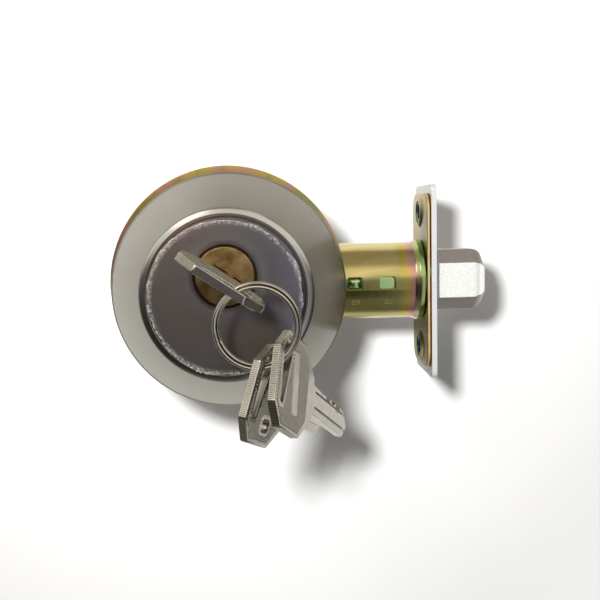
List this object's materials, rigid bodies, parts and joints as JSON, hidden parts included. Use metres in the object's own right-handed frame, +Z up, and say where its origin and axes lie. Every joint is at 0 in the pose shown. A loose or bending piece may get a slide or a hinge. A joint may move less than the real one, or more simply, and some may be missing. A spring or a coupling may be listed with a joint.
{
  "type": "deadbolt door lock",
  "caption": "Single-cylinder tubular deadbolt with conical satin rose, keyed plug, yellow-zinc bolt tube, flat faceplate, square bolt, thumb-turn and keys on a split ring.",
  "frame": {"origin": "where the bolt tube's axis crosses the cross bore's axis, at mid-door", "axes": "+X towards the door's edge and the bolt's throw, +Y into the door from outside, +Z up"},
  "size_m": [0.1085, 0.1196, 0.0737],
  "materials": {
    "satin_rose": "satin nickel, spun and circumferentially brushed",
    "yellow_zinc": "yellow-passivated zinc plating, iridescent",
    "zinc_casting": "die-cast zinc alloy",
    "dark_satin_face": "satin, under a protective film",
    "clear_film": "clear protective film with a torn edge",
    "brass": "machined brass",
    "nickel_key": "nickel-plated brass, knurled bow",
    "nickel_wire": "nickel-plated spring wire",
    "white_zinc": "white zinc plating",
    "satin_faceplate": "satin stainless steel",
    "plain_steel": "plain zinc-plated steel"
  },
  "bodies": {
    "lock_body": {"exterior_rose": "satin_rose", "rose_backing_ring": "yellow_zinc", "cylinder_housing": "zinc_casting", "chamber_cover": "brass", "cylinder_face_shell": "dark_satin_face", "face_film": "clear_film", "driver_pins": "brass", "pin_springs": "plain_steel", "case_near_plate": "yellow_zinc", "case_far_plate": "yellow_zinc", "case_rivets": "plain_steel", "case_collar": "yellow_zinc", "detent_leaf": "plain_steel", "bolt_tube": "yellow_zinc", "backset_sleeve": "yellow_zinc", "faceplate": "satin_faceplate", "faceplate_backing": "yellow_zinc", "mounting_screws": "white_zinc", "interior_plate": "yellow_zinc", "interior_rose": "satin_rose"},
    "spindle": {"tailpiece": "plain_steel", "hub": "plain_steel", "turn_shaft": "plain_steel", "turn_clip": "plain_steel", "turn_washer": "plain_steel", "thumb_turn": "satin_rose"},
    "bolt": {"bolt": "white_zinc", "bolt_roller": "plain_steel", "bolt_link": "plain_steel", "link_rivet": "plain_steel"},
    "plug": {"plug": "brass", "key_pins": "brass", "plug_clip": "plain_steel", "plug_driver": "brass", "key_in_lock": "nickel_key"},
    "key_ring": {"key_ring": "nickel_wire"},
    "key_two": {"key_two": "nickel_key"},
    "key_three": {"key_three": "nickel_key"}
  },
  "joints": [
    {"name": "hub_turn", "type": "hinge", "parent": "lock_body", "child": "spindle", "pos_m": [0, 0, 0.0055], "axis": [0, -1, 0], "range_deg": [-56, 34]},
    {"name": "bolt_slide", "type": "slide", "parent": "lock_body", "child": "bolt", "axis": [1, 0, 0], "range_m": [-0.01555, 0.00944]},
    {"name": "plug_turn", "type": "hinge", "parent": "spindle", "child": "plug", "pos_m": [0, 0, 0.0055], "axis": [0, -1, 0], "range_deg": [-90, 0]},
    {"name": "ring_swing", "type": "hinge", "parent": "plug", "child": "key_ring", "pos_m": [0.00315, -0.063, 0.00337], "axis": [0, -1, 0], "range_deg": [-25, 4]},
    {"name": "key_two_swing", "type": "hinge", "parent": "key_ring", "child": "key_two", "pos_m": [0.00971, -0.063, -0.01389], "axis": [0.9848, 0, 0.1736], "range_deg": [-6, 6]},
    {"name": "key_three_swing", "type": "hinge", "parent": "key_ring", "child": "key_three", "pos_m": [0.01424, -0.063, -0.01172], "axis": [0.7547, 0, 0.6561], "range_deg": [-6, 6]}
  ],
  "couplings": [
    {"joint": "hub_turn", "follows": "bolt_slide", "rad_per_m": 62.832}
  ]
}
